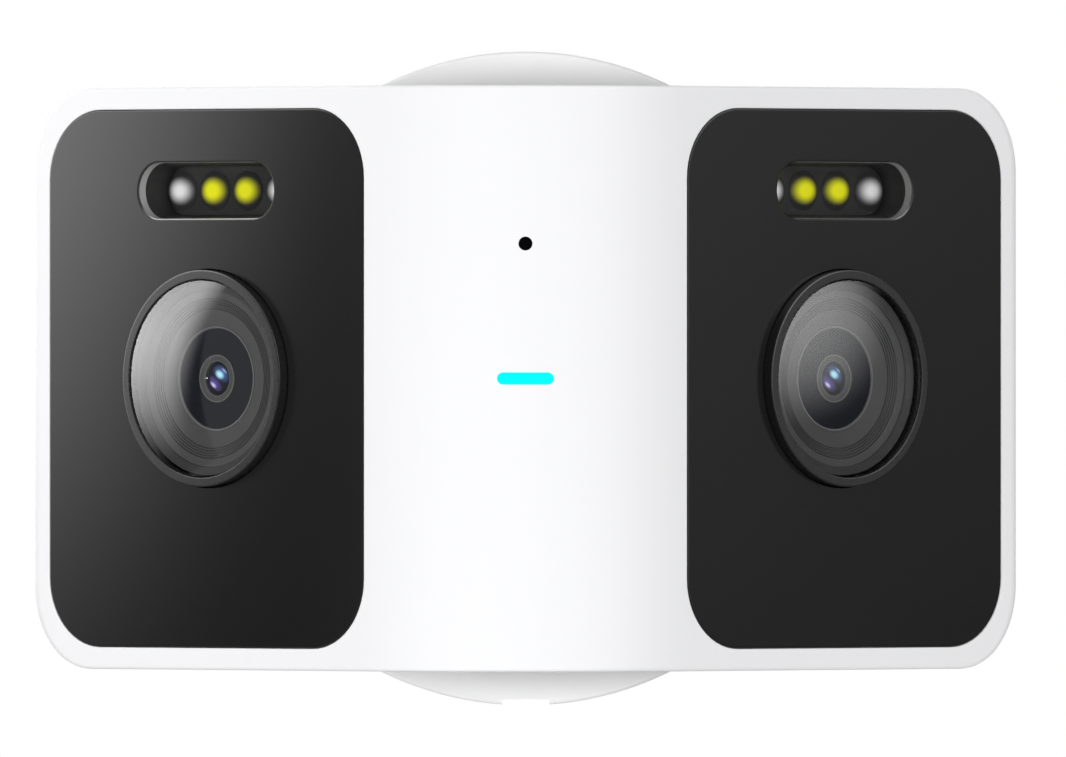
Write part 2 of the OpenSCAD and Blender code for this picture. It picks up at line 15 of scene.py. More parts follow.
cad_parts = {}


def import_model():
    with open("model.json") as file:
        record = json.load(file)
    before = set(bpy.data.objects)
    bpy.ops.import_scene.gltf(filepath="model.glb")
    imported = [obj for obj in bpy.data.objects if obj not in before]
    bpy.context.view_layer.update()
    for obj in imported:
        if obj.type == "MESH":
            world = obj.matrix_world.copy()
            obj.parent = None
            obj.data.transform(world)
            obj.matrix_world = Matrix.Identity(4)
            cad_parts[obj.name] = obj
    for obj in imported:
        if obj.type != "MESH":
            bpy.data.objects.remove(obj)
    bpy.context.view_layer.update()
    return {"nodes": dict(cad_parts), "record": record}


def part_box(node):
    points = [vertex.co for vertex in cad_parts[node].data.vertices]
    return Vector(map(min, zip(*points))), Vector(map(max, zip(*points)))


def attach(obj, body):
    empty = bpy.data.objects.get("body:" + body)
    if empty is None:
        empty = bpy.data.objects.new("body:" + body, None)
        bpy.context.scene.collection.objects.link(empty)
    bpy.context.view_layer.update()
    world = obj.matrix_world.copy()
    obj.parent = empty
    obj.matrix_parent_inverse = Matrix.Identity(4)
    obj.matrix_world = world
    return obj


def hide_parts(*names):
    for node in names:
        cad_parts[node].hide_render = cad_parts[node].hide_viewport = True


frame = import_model()
MM = 0.001

# ---- Driving dimensions, beside those read from the frame --------------------

NOSE_R = 42 * MM
CORNER_R = 15 * MM
TIP_R = 2.5 * MM
EDGE_R = 0.7 * MM
BACK_EDGE_R = 1.6 * MM
BACK_TIP_R = 8 * MM
WALL = 3 * MM
SEAM_R = 0.3 * MM
HOLD = 0.08 * MM  # strip beside a rounded edge that keeps the flat face flat
PAST = 5 * MM  # how far a cutter reaches past the face that it opens
PANEL = dict(w=77.8 * MM, h=96.7 * MM, r=12.5 * MM)
PANEL_T = 1.6 * MM
PANEL_GAP = 0.1 * MM
OPENING_R = 0.25 * MM  # rounding round a panel's opening in the housing
MIC_HOLE_R = 1.25 * MM
STATUS_SLOT = dict(w=10.2 * MM, h=2.2 * MM)
LIGHT = dict(w=33.9 * MM, h=10.5 * MM)
LIGHT_Z = 33.8 * MM
LED_PITCH = 8.15 * MM
LED_SHIFT = 0.25 * MM
LENS_SHIFT = 0.67 * MM
LENS_SEGMENTS = 160
RING_R = 19.5 * MM
RING_IN = 17.86 * MM
RING_OUT = 2 * MM
RING_GAP = 0.2 * MM
DOME_R = 17.6 * MM
DOME_H = 3.5 * MM
DOME_T = 1.5 * MM
DOME_RIM = -1.85 * MM
SHARP = 32  # degrees: faces that meet at a larger angle keep a sharp edge
TINY = 1e-9
ALIKE = 1e-6

# ---- Places read from the frame --------------------------------------------------

joints = {j["name"]: j for j in frame["record"]["behaviour"]["joints"]}
WING_C, WING_S = joints["right_filter_slide"]["axis"][:2]
front_lo, front_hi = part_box("front_shell")
panel_lo, panel_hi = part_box("right_panel")
gasket_lo, gasket_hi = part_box("head_gasket")
HALF_W, HALF_H = front_hi.x, front_hi.z
NOSE_Y = front_lo.y + NOSE_R
SEAM_FRONT, SEAM_REAR = gasket_lo.y, gasket_hi.y
BACK_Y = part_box("rear_shell")[1].y
PANEL_X = panel_hi.x - PANEL["w"] / 2 * WING_C
PANEL_Y = panel_lo.y + PANEL["w"] / 2 * WING_S
TANGENT = Vector((NOSE_R * WING_S, NOSE_Y - NOSE_R * WING_C))
TIP_U = (HALF_W - TIP_R - TANGENT.x + TIP_R * WING_S) / WING_C + TIP_R
TO_WALL = Vector((0, 1, 0))
AIM_Y = -0.09  # depth of the point that the lights and the camera face
SIDES = {"left": -1, "right": 1}


def wing_matrix(side):
    """The wing's axes (u, d, z) in the frame, with the origin at its panel's middle."""
    return Matrix(
        (
            (side * WING_C, -side * WING_S, 0, side * PANEL_X),
            (WING_S, WING_C, 0, PANEL_Y),
            (0, 0, 1, 0),
            (0, 0, 0, 1),
        )
    )


# ---- Outlines ------------------------------------------------------------------------


def in_mm(points):
    """Outline points in metres from the same in millimetres."""
    return [tuple(v * MM for v in point) for point in points]


def arc(cx, cy, r, a0, a1, n):
    """Points from angle a0 to a1, in degrees, both ends included."""
    steps = [math.radians(a0 + (a1 - a0) * i / n) for i in range(n + 1)]
    return [(cx + r * math.cos(a), cy + r * math.sin(a)) for a in steps]


def rounded_rect(w, h, r, grow=0.0, n=14):
    """A closed outline of a rectangle with round corners, moved outwards by grow."""
    x, z = w / 2 - r, h / 2 - r
    corners = [(x, z, 0), (-x, z, 90), (-x, -z, 180), (x, -z, 270)]
    return [p for a, b, t in corners for p in arc(a, b, r + grow, t, t + 90, n)]


def circle(r, grow=0.0, cx=0.0, cz=0.0, n=128):
    return arc(cx, cz, r + grow, 0, 360 - 360 / n, n - 1)


def pill(w, h, grow=0.0, cz=0.0, n=28):
    """A closed outline with two straight sides and two round ends."""
    x, r = (w - h) / 2, h / 2 + grow
    return arc(x, cz, r, -90, 90, n) + arc(-x, cz, r, 90, 270, n)


def fillet_steps(r, n=4):
    """Pairs (inset, depth) that turn a front edge of radius r into the side."""
    turns = [math.radians(90 * i / n) for i in range(n + 1)]
    return [(r - r * math.sin(a), r - r * math.cos(a)) for a in turns]


def rounded_profile(points, n=4):
    """Closed outline (r, d) from corners (r, d, radius), with a holding point beside each rounding."""
    out = []
    for i, (x, y, r) in enumerate(points):
        here = Vector((x, y))
        before = (Vector(points[i - 1][:2]) - here).normalized()
        after = (Vector(points[(i + 1) % len(points)][:2]) - here).normalized()
        if r <= 0:
            out.append((x, y))
            continue
        half = before.angle(after) / 2
        reach = r / math.tan(half)
        centre = here + (before + after).normalized() * (r / math.sin(half))
        start, end = here + before * reach, here + after * reach
        out.append(tuple(start + before * HOLD))
        for k in range(n + 1):
            t = (start - centre).lerp(end - centre, k / n).normalized()
            out.append(tuple(centre + t * r))
        out.append(tuple(end + after * HOLD))
    return out


# ---- Meshes and pieces ---------------------------------------------------------------


def points_loop(bm, points):
    return [bm.verts.new(p) for p in points]


def add_loop(bm, points, d):
    """A loop of vertices at depth d from an outline in u and z."""
    return points_loop(bm, [(u, d, z) for u, z in points])


def bridge(bm, a, b):
    """Quads between two closed loops with the same number of points."""
    for i in range(len(a)):
        j = (i + 1) % len(a)
        bm.faces.new((a[i], a[j], b[j], b[i]))


def bridge_all(bm, loops):
    for a, b in zip(loops, loops[1:]):
        bridge(bm, a, b)


def fill(bm, *loops):
    """A flat face between an outer loop and any holes."""
    edges = []
    for loop in loops:
        for i in range(len(loop)):
            pair = (loop[i], loop[(i + 1) % len(loop)])
            edges.append(bm.edges.get(pair) or bm.edges.new(pair))
    bmesh.ops.triangle_fill(bm, use_beauty=True, edges=edges)


def flat_part(bm, outer, holes, d0, d1, edge, hole_edge=0.0):
    """A plate from depth d0 to d1. outer and holes give an outline for a given growth."""
    front, back = [], []
    for outline, sign, r in [(outer, -1, edge)] + [(h, 1, hole_edge) for h in holes]:
        steps = [(r + HOLD, 0.0)] + fillet_steps(r) + [(0.0, r + HOLD)]
        loops = [add_loop(bm, outline(sign * i), d0 + d) for i, d in steps]
        loops += [add_loop(bm, outline(0.0), d1)]
        bridge_all(bm, loops)
        front.append(loops[0])
        back.append(loops[-1])
    fill(bm, *front)
    fill(bm, *back)


def prism(bm, outline, d0, d1):
    """A straight closed bar with an outline in u and z, from depth d0 to d1."""
    a, b = add_loop(bm, outline, d0), add_loop(bm, outline, d1)
    bridge(bm, a, b)
    bm.faces.new(a)
    bm.faces.new(b)


def bar(bm, r, d0, d1, x, z, n=48):
    """A round bar along the depth axis."""
    prism(bm, circle(r, cx=x, cz=z, n=n), d0, d1)


def block(bm, lo, hi):
    """A box with the given corners."""
    made = bmesh.ops.create_cube(bm, size=1)["verts"]
    for v in made:
        v.co = [lo[k] + (v.co[k] + 0.5) * (hi[k] - lo[k]) for k in range(3)]


def lathe(bm, outline, n, closed=True):
    """Turns an outline (r, d) about the depth axis. Points at r = 0 become one vertex."""
    rows = []
    for r, d in outline:
        if r < TINY:
            rows.append([bm.verts.new((0, d, 0))])
        else:
            rows.append(add_loop(bm, circle(r, n=n), d))
    pairs = list(zip(rows, rows[1:])) + ([(rows[-1], rows[0])] if closed else [])
    for a, b in pairs:
        if len(a) == 1 and len(b) == 1:
            continue
        if len(a) == 1 or len(b) == 1:
            tip, ring = (a[0], b) if len(a) == 1 else (b[0], a)
            for i in range(n):
                bm.faces.new((tip, ring[i], ring[(i + 1) % n]))
        else:
            bridge(bm, a, b)


def merge(bm, part, index):
    """Adds the mesh of part to bm, with a material index."""
    copy = bpy.data.meshes.new("part")
    bmesh.ops.recalc_face_normals(part, faces=part.faces)
    for face in part.faces:
        face.material_index = index
    part.to_mesh(copy)
    part.free()
    bm.from_mesh(copy)
    bpy.data.meshes.remove(copy)


def turned(shapes, n=LENS_SEGMENTS, closed=True):
    """A new mesh turned from pairs (material index, outline in r and d)."""
    bm = bmesh.new()
    for index, outline in shapes:
        part = bmesh.new()
        lathe(part, outline, n, closed=closed)
        merge(bm, part, index)
    return bm


def make_mesh(bm, name, matrix=None, sharp=SHARP):
    """Ends a bmesh as a smooth-shaded mesh, with its sharp edges kept."""
    if matrix is not None:
        bm.transform(matrix)
    bmesh.ops.remove_doubles(bm, verts=bm.verts, dist=10 * TINY)
    bmesh.ops.recalc_face_normals(bm, faces=bm.faces)
    mesh = bpy.data.meshes.new(name)
    bm.to_mesh(mesh)
    bm.free()
    mesh.shade_smooth()
    mesh.set_sharp_from_angle(angle=math.radians(sharp))
    return mesh


def piece(name, bm, body, materials, node, matrix=None, sharp=SHARP, origin=None):
    """Makes the mesh an object that rides on a body and stands for a CAD node."""
    obj = bpy.data.objects.new(name, make_mesh(bm, name, matrix, sharp))
    bpy.context.collection.objects.link(obj)
    for key in materials:
        obj.data.materials.append(M[key])
    if origin is not None:
        obj.matrix_world = origin
        bpy.context.view_layer.update()
    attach(obj, body)
    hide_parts(node)
    return obj


def let_light_through(obj):
    """Keeps a clear piece from darkening what lies behind it."""
    obj.visible_shadow = False
    obj.visible_diffuse = False


def cut(obj, cutter_bm):
    """Takes a closed cutter out of a piece and keeps the result as its mesh."""
    tool = bpy.data.objects.new("cutter", make_mesh(cutter_bm, "cutter"))
    bpy.context.collection.objects.link(tool)
    mod = obj.modifiers.new("cut", "BOOLEAN")
    mod.operation, mod.solver, mod.object = "DIFFERENCE", "EXACT", tool
    bpy.context.view_layer.update()
    seen = obj.evaluated_get(bpy.context.evaluated_depsgraph_get())
    mesh = bpy.data.meshes.new_from_object(seen)
    obj.modifiers.remove(mod)
    old, obj.data = obj.data, mesh
    bpy.data.meshes.remove(old)
    mesh.set_sharp_from_angle(angle=math.radians(SHARP))
    bpy.data.objects.remove(tool)


# ---- Shader nodes --------------------------------------------------------------------


def feed(tree, value, socket):
    """Links another node's output to a socket, or sets the socket to a plain value."""
    if isinstance(value, bpy.types.NodeSocket):
        tree.links.new(value, socket)
    else:
        socket.default_value = value


def texture_place(tree):
    return tree.nodes.new("ShaderNodeTexCoord").outputs["Object"]


def noise(tree, scale, detail=3.0):
    node = tree.nodes.new("ShaderNodeTexNoise")
    node.inputs["Scale"].default_value = scale
    node.inputs["Detail"].default_value = detail
    tree.links.new(texture_place(tree), node.inputs["Vector"])
    return node.outputs["Fac"]


def ranged(tree, value, low, high, at=(0.3, 0.7), smooth=False):
    """Goes from low to high as value goes through the range at."""
    node = tree.nodes.new("ShaderNodeMapRange")
    node.interpolation_type = "SMOOTHSTEP" if smooth else "LINEAR"
    node.inputs["From Min"].default_value, node.inputs["From Max"].default_value = at
    feed(tree, low, node.inputs["To Min"])
    feed(tree, high, node.inputs["To Max"])
    tree.links.new(value, node.inputs["Value"])
    return node.outputs["Result"]


def mixed(tree, factor, a, b):
    """Goes from a to b with factor. Each is a colour or another node's output."""
    node = tree.nodes.new("ShaderNodeMix")
    node.data_type = "RGBA"
    for name, color in (("A", a), ("B", b)):
        feed(tree, (*color, 1) if isinstance(color, tuple) else color, node.inputs[name])
    tree.links.new(factor, node.inputs["Factor"])
    return node.outputs["Result"]


def product(tree, a, b):
    node = tree.nodes.new("ShaderNodeMath")
    node.operation = "MULTIPLY"
    feed(tree, a, node.inputs[0])
    feed(tree, b, node.inputs[1])
    return node.outputs[0]


def vector_math(tree, operation, *values):
    """A vector operation, whose inputs are vectors or other nodes' outputs."""
    node = tree.nodes.new("ShaderNodeVectorMath")
    node.operation = operation
    for socket, value in zip(node.inputs, values):
        feed(tree, value, socket)
    return node.outputs["Value" if operation in ("DOT_PRODUCT", "LENGTH") else "Vector"]


def spot(tree, point, inner, outer, along=None, squeeze=1.0, seen=(1, 0, 1), smooth=False):
    """1 near a point, fading to 0, by distance in the object's own space.

    The distance counts squeeze times along one direction, and leaves out axes not seen.
    """
    vector = vector_math(tree, "SUBTRACT", texture_place(tree), point)
    vector = vector_math(tree, "MULTIPLY", vector, seen)
    if along is not None:
        share = vector_math(tree, "MULTIPLY", along, vector_math(tree, "DOT_PRODUCT", vector, along))
        vector = vector_math(tree, "MULTIPLY_ADD", share, (squeeze - 1,) * 3, vector)
    length = vector_math(tree, "LENGTH", vector)
    return ranged(tree, length, 1, 0, at=(inner, outer), smooth=smooth)


# ---- Materials -----------------------------------------------------------------------

CLOUD_SCALE = 45
GLOSS_TO_GRAIN = 0.35
GRAIN_DETAIL = 4
BUMP_DEPTH = 0.05 * MM
METAL = {"Metallic": 1.0}


def grey(level):
    return (level, level, level)


# name, colour, its variation, range of roughness, grain's scale, grain's strength
FINISHES = {
    "shell": ("white_shell", (0.80, 0.80, 0.812), 0.006, (0.45, 0.52), 2500, 0.04),
    "base": ("white_base", grey(0.80), 0.006, (0.48, 0.56), 2500, 0.04),
    "panel": ("dark_panel", grey(0.011), 0.03, (0.15, 0.17), 3500, 0.01),
    "ring": (
        "lens_ring_dark",
        (0.012, 0.012, 0.0125),
        0.05,
        (0.26, 0.3),
        3000,
        0.02,
        {"Specular IOR Level": 0.9},
    ),
    "hood": ("lens_hood_black", grey(0.05), 0.06, (0.5, 0.6), 3000, 0.03),
    # the hood's black at half its level: painted shade on the sloping rim under the lens ring
    "hood_rim": ("lens_hood_rim_painted_shade", grey(0.026), 0.06, (0.5, 0.6), 3000, 0.03),
    "barrel": ("lens_barrel_black", (0.004, 0.005, 0.0085), 0.1, (0.1, 0.16), 3000, 0.02),
    "lip": ("lens_lip_grey", grey(0.13), 0.05, (0.3, 0.4), 3000, 0.02),
    "pupil_ring": ("pupil_ring_grey", (0.045, 0.045, 0.043), 0.05, (0.35, 0.45), 3000, 0.03),
    "cup": ("light_cup_satin", grey(0.34), 0.04, (0.35, 0.45), 2500, 0.03),
    "cup_dark": ("light_cup_dark", grey(0.02), 0.1, (0.5, 0.6), 2500, 0.03),
    "trim": ("light_trim_satin", grey(0.24), 0.04, (0.2, 0.28), 2500, 0.02, METAL),
    "rubber": ("black_rubber", (0.025, 0.025, 0.026), 0.15, (0.65, 0.85), 1800, 0.25),
    "dark": ("dark_plastic", (0.035, 0.035, 0.038), 0.1, (0.45, 0.6), 1800, 0.15),
    "board": ("board_green", (0.02, 0.12, 0.06), 0.25, (0.35, 0.5), 1500, 0.08),
    "black_board": ("board_black", grey(0.024), 0.25, (0.45, 0.6), 1500, 0.08),
    "chip": ("chip_black", (0.02, 0.02, 0.022), 0.2, (0.5, 0.7), 3000, 0.2),
    "parts": ("wound_parts", (0.55, 0.36, 0.06), 0.3, (0.3, 0.5), 1200, 0.15),
    "steel": ("plated_steel", (0.55, 0.56, 0.58), 0.12, (0.25, 0.4), 1500, 0.1, METAL),
    "aluminium": ("bare_aluminium", (0.72, 0.72, 0.74), 0.1, (0.3, 0.45), 1500, 0.1, METAL),
    "filter": ("filter_violet", (0.12, 0.03, 0.1), 0.2, (0.1, 0.2), 2500, 0.05),
    "sensor": ("sensor_blue", (0.03, 0.04, 0.09), 0.2, (0.08, 0.15), 2500, 0.03),
}


def shader_of(mat):
    return mat.node_tree.nodes["Principled BSDF"]


def moulded(name, color, vary=0.03, rough=(0.4, 0.5), grain=900, bump=0.02, sockets=None):
    """A plastic, rubber or metal: fine colour and gloss variation and a fine surface grain."""
    mat = bpy.data.materials.new(name)
    mat.use_nodes = True
    tree, inputs = mat.node_tree, shader_of(mat).inputs
    darker = tuple(v * (1 - vary) for v in color)
    cloud = ranged(tree, noise(tree, CLOUD_SCALE), 0, 1)
    tree.links.new(mixed(tree, cloud, darker, color), inputs["Base Color"])
    gloss = ranged(tree, noise(tree, grain * GLOSS_TO_GRAIN), *rough)
    tree.links.new(gloss, inputs["Roughness"])
    bumps = tree.nodes.new("ShaderNodeBump")
    bumps.inputs["Strength"].default_value = bump
    bumps.inputs["Distance"].default_value = BUMP_DEPTH
    tree.links.new(noise(tree, grain, GRAIN_DETAIL), bumps.inputs["Height"])
    tree.links.new(bumps.outputs["Normal"], inputs["Normal"])
    for socket, value in (sockets or {}).items():
        inputs[socket].default_value = value
    return mat


def base_color(mat):
    """The output that colours a moulded material."""
    return shader_of(mat).inputs["Base Color"].links[0].from_socket


def clear(name, rough, tint, ior):
    """A clear moulded window with faint haze."""
    see_through = {"Transmission Weight": 1.0, "IOR": ior}
    return moulded(name, tint, vary=0.01, rough=rough, grain=800, bump=0.0, sockets=see_through)


def coated_dome():
    """The dome's outside, whose shine comes from a hard coat."""
    mat = clear("dome_clear", rough=(0.0, 0.005), tint=(0.99, 0.99, 1.0), ior=1.01)
    coat = {"Coat Weight": 1.0, "Coat IOR": 1.8, "Coat Roughness": 0.08}
    for socket, value in coat.items():
        shader_of(mat).inputs[socket].default_value = value
    return mat


def glowing(name, color, glow, strength):
    """A lit light pipe: its own colour with a soft glow."""
    light = {"Specular IOR Level": 0.1, "Emission Color": (*glow, 1), "Emission Strength": strength}
    return moulded(name, color, grain=3000, sockets=light)


def diode(name, color, glow, strength, inner, outer):
    """A lit diode: a glow a little longer than high, which fades to the colour of its board."""
    mat = glowing(name, color, glow, 0.0)
    tree, inputs = mat.node_tree, shader_of(mat).inputs
    lengthwise, stretch, edge = Vector((1, 0, 0)), 0.78, grey(0.026)
    fade = spot(tree, (0, 0, 0), inner * MM, outer * MM, lengthwise, stretch, smooth=True)
    tree.links.new(mixed(tree, fade, edge, base_color(mat)), inputs["Base Color"])
    tree.links.new(product(tree, fade, strength), inputs["Emission Strength"])
    return mat


def glass_with_painted_glints(name, centre):
    """Coated dark glass whose colour holds painted glints: a cyan one to the upper right and a violet one
    to the lower left.
    """
    dull = {"Specular IOR Level": 0.15}
    mat = moulded(name, (0.004, 0.005, 0.01), 0.1, (0.05, 0.08), 2000, 0.0, dull)
    tree = mat.node_tree
    slant = Vector((0.75, 0, 0.66)).normalized()
    # Painted glints: right and up from the middle and the two radii, in mm, then the squeeze and the
    # colour
    glints = [
        (0.6, 0.95, 0.4, 2.1, 1.5, (0.06, 0.12, 0.32)),
        (-0.75, -0.85, 0.3, 1.9, 1.8, (0.1, 0.07, 0.3)),
        (1.1, 1.4, 0.05, 0.8, 3.0, (0.35, 0.48, 0.7)),
        (-0.9, -1.15, 0.15, 0.85, 2.2, (0.7, 0.62, 0.95)),
        (0.26, 0.72, 0.35, 1.05, 1.4, (0.45, 0.85, 1.0)),
    ]
    color = base_color(mat)
    for x, z, inner, outer, squeeze, tint in glints:
        point = centre + Vector((x * MM, 0, z * MM))
        glint = spot(tree, point, inner * MM, outer * MM, slant, squeeze)
        color = mixed(tree, glint, color, tint)
    tree.links.new(color, shader_of(mat).inputs["Base Color"])
    return mat


def build_materials():
    made = {key: moulded(*finish) for key, finish in FINISHES.items()}
    made["led_white"] = diode("diode_white", grey(0.72), grey(1.0), 0.13, 0.4, 2.8)
    made["led_warm"] = diode("diode_yellow", (0.75, 0.75, 0.012), (1.0, 1.0, 0.01), 0.12, 0.8, 2.8)
    made["status"] = glowing("status_cyan", (0.0, 0.15, 0.15), (0.0, 1.0, 1.0), 1.0)
    made["dome_inside"] = clear("dome_clear_inside", rough=(0.0, 0.005), tint=(0.99, 0.99, 1.0), ior=1.01)
    made["dome"] = coated_dome()
    made["window"] = clear("light_window_clear", rough=(0.1, 0.14), tint=grey(0.92), ior=1.02)
    return made


M = build_materials()

# ---- Head shells ----------------------------------------------------------------------

NOSE_STEPS, WING_STEPS, CORNER_STEPS, TIP_STEPS, NOSE_ROWS = 40, 10, 18, 8, 60
RIM_ARC, SEAM_ARC, BACK_ARC = 6, 3, 8

# A place on the head's front rim: a point on the sharp edge, the normals of the face and of
# the side, the direction back along the side, and the share of the tip's larger rounding.
Station = namedtuple("Station", "point face out back tip")


def wing_point(u, d, z):
    """A point on the right wing from the nose's tangent line, in the frame."""
    return Vector((TANGENT.x + u * WING_C - d * WING_S, TANGENT.y + u * WING_S + d * WING_C, z))


def rim_station(kind, t, inset):
    """A place on the right, above the middle. t is its angle or its share of the way."""
    up, back = Vector((0, 0, 1)), Vector((-WING_S, WING_C, 0))
    along, face = Vector((WING_C, WING_S, 0)), Vector((WING_S, -WING_C, 0))
    top, corner_u, corner_z = HALF_H - inset, TIP_U - CORNER_R, HALF_H - CORNER_R
    if kind == "nose":
        a, r = math.radians(t), NOSE_R - inset
        face = Vector((math.sin(a), -math.cos(a), 0))
        point = Vector((r * face.x, NOSE_Y + r * face.y, top))
        return Station(point, face, up, TO_WALL, 0.0)
    if kind == "wing":
        return Station(wing_point(corner_u * t, inset, top), face, up, back, 0.0)
    if kind == "corner":
        a, r = math.radians(t), CORNER_R - inset
        out = along * math.cos(a) + up * math.sin(a)
        point = wing_point(corner_u + r * math.cos(a), inset, corner_z + r * math.sin(a))
        return Station(point, face, out, back, math.cos(a) ** 2)
    return Station(wing_point(TIP_U - inset, inset, corner_z * t), face, along, back, 1.0)


def rim_stations(inset):
    """All places round the front rim, clockwise seen from the front, from the nose's top middle."""
    angle = math.degrees(math.asin(WING_S))
    quarter = [("nose", angle * i / NOSE_STEPS) for i in range(NOSE_STEPS)]
    quarter += [("wing", i / WING_STEPS) for i in range(WING_STEPS)]
    quarter += [("corner", 90 - 90 * i / CORNER_STEPS) for i in range(CORNER_STEPS)]
    quarter += [("tip", 1 - i / TIP_STEPS) for i in range(TIP_STEPS)]
    upper = [rim_station(k, t, inset) for k, t in quarter]
    middle = [rim_station("tip", 0, inset)]

    def mirrored(station, sx, sz):
        vectors = [Vector((v.x * sx, v.y, v.z * sz)) for v in station[:4]]
        return Station(*vectors, station.tip)

    lower = [mirrored(s, 1, -1) for s in upper[::-1]]
    right = upper + middle + lower
    left = [mirrored(s, -1, 1) for s in right[::-1]][1:-1]
    return right + left


def side_point(station, y, inset):
    """Where the side behind a rim place meets the plane at y."""
    point, out, back = station.point, station.out, station.back
    if abs(abs(out.z) - 1) > ALIKE or abs(point.y - y) < TINY:
        return point + back * ((y - point.y) / back.y)
    bend = wing_point(TIP_U - CORNER_R, inset, 0)
    bend_back = bend + Vector((-WING_S, WING_C, 0)) * ((y - bend.y) / WING_C)
    return Vector((point.x * bend_back.x / bend.x, y, point.z))


def side_loop(bm, stations, y, inset):
    return points_loop(bm, [side_point(s, y, inset) for s in stations])


def rolled(sharp, a, b, radius, turn):
    """A point on the rounding of a sharp edge between faces with normals a and b."""
    centre = sharp - (a + b) * (radius / (1 + a.dot(b)))
    angle = a.angle(b) * turn
    side = (b - a * a.dot(b)).normalized()
    return centre + (a * math.cos(angle) + side * math.sin(angle)) * radius


def rounding(bm, edges, steps):
    """Loops that round an edge, given at each place as its point, two normals and radius."""
    turns = [i / steps for i in range(steps + 1)]
    return [points_loop(bm, [rolled(*edge, turn) for edge in edges]) for turn in turns]


def nose_and_wings(bm, rim, panel_loops, half_height):
    """The face inside the rim loop: the nose's grid and the two flat wings."""
    n, across = len(rim), 2 * NOSE_STEPS
    right_top, right_bottom = NOSE_STEPS, n // 2 - NOSE_STEPS
    left_bottom, left_top = n - right_bottom, n - right_top
    top = [rim[(left_top + i) % n] for i in range(across + 1)]
    bottom = [rim[(left_bottom - i) % n] for i in range(across + 1)]
    rows = [top]
    for k in range(1, NOSE_ROWS):
        z = half_height * (1 - 2 * k / NOSE_ROWS)
        rows.append([bm.verts.new((v.co.x, v.co.y, z)) for v in top])
    rows.append(bottom)
    for a, b in zip(rows, rows[1:]):
        for i in range(across):
            bm.faces.new((a[i], a[i + 1], b[i + 1], b[i]))
    right_edge = [row[-1] for row in rows]
    left_edge = [row[0] for row in rows]
    right = rim[right_top : right_bottom + 1] + right_edge[-2:0:-1]
    left = rim[left_bottom : left_top + 1] + left_edge[1:-1]
    fill(bm, right, panel_loops["right"])
    fill(bm, left, panel_loops["left"])


def panel_opening(bm, matrix):
    """Loops through the front wall round a panel, with a rounded front edge."""
    steps = [(OPENING_R + HOLD / 2, 0.0)] + fillet_steps(OPENING_R)
    steps += [(0.0, 0.4 * MM), (0.0, WALL)]
    loops = []
    for grow, d in steps:
        outline = rounded_rect(**PANEL, grow=PANEL_GAP + grow)
        loops.append(points_loop(bm, [matrix @ Vector((u, d, z)) for u, z in outline]))
    bridge_all(bm, loops)
    return loops


def front_shell():
    """The white front housing: a round nose between two flat wings."""
    bm = bmesh.new()
    outer, inner = rim_stations(0.0), rim_stations(WALL)

    def radius(station):
        return EDGE_R + (TIP_R - EDGE_R) * station.tip

    # Outside: the face's edge, the rounded rim, the side and the rounded seam edge
    loops = [points_loop(bm, [s.point - s.out * (radius(s) + HOLD) for s in outer])]
    loops += rounding(bm, [(s.point, s.face, s.out, radius(s)) for s in outer], RIM_ARC)
    loops.append(points_loop(bm, [s.point + s.back * (radius(s) + HOLD) for s in outer]))
    loops.append(side_loop(bm, outer, SEAM_FRONT - SEAM_R - HOLD, 0.0))
    seam = [(side_point(s, SEAM_FRONT, 0.0), s.out, TO_WALL, SEAM_R) for s in outer]
    loops += rounding(bm, seam, SEAM_ARC)
    # Inside: the side and the back of the face
    loops.append(side_loop(bm, inner, SEAM_FRONT, WALL))
    loops.append(points_loop(bm, [s.point for s in inner]))
    bridge_all(bm, loops)
    openings = {side: panel_opening(bm, wing_matrix(sign)) for side, sign in SIDES.items()}
    for k, half_height in ((0, HALF_H - EDGE_R - HOLD), (-1, HALF_H - WALL)):
        holes = {side: through[k] for side, through in openings.items()}
        nose_and_wings(bm, loops[k], holes, half_height)
    shell = piece("head_front", bm, "head", ["shell"], "front_shell")
    cut(shell, nose_cutter())
    cut(shell, underside_cutter())


def nose_cutter():
    """The microphone hole and the status light's slot."""
    bm = bmesh.new()
    mic_lo, mic_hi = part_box("microphone")
    front, back = front_lo.y - PAST, NOSE_Y - NOSE_R * 0.8
    bar(bm, MIC_HOLE_R, front, back, 0, (mic_lo.z + mic_hi.z) / 2)
    prism(bm, pill(**STATUS_SLOT), front, back)
    return bm


def underside_cutter():
    """The service flap's seat and port, and the speaker's grille."""
    bm = bmesh.new()
    flap_lo, flap_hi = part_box("service_flap")
    half_seat, seat_gap, seat_depth = 15.2 * MM, 0.4 * MM, 1.8 * MM
    half_port, hinge_room, catch_room = 13 * MM, 3 * MM, 1.6 * MM
    seat_lo = Vector((-half_seat, flap_lo.y - seat_gap, -HALF_H - 1 * MM))
    seat_hi = Vector((half_seat, flap_hi.y + seat_gap, -HALF_H + seat_depth))
    port_lo = (-half_port, seat_lo.y + hinge_room, -HALF_H + 1 * MM)
    port_hi = (half_port, seat_hi.y - catch_room, -HALF_H + WALL + 1 * MM)
    block(bm, seat_lo, seat_hi)
    block(bm, port_lo, port_hi)
    grille(bm)
    return bm


def grille(bm, pitch=4.2 * MM, reach=13 * MM, hole_r=0.9 * MM):
    """Bars for the speaker's holes, in a triangular pattern within a circle."""
    speaker_lo, speaker_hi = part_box("speaker")
    middle = (speaker_lo.y + speaker_hi.y) / 2
    size = dict(segments=24, radius1=hole_r, radius2=hole_r, depth=2 * PAST)
    for i in range(-3, 4):
        for j in range(-3, 4):
            x, y = (i + j / 2) * pitch, j * pitch * math.sin(math.radians(60))
            if math.hypot(x, y) < reach:
                made = bmesh.ops.create_cone(bm, cap_ends=True, **size)
                bmesh.ops.translate(bm, verts=made["verts"], vec=(x, middle + y, -HALF_H))


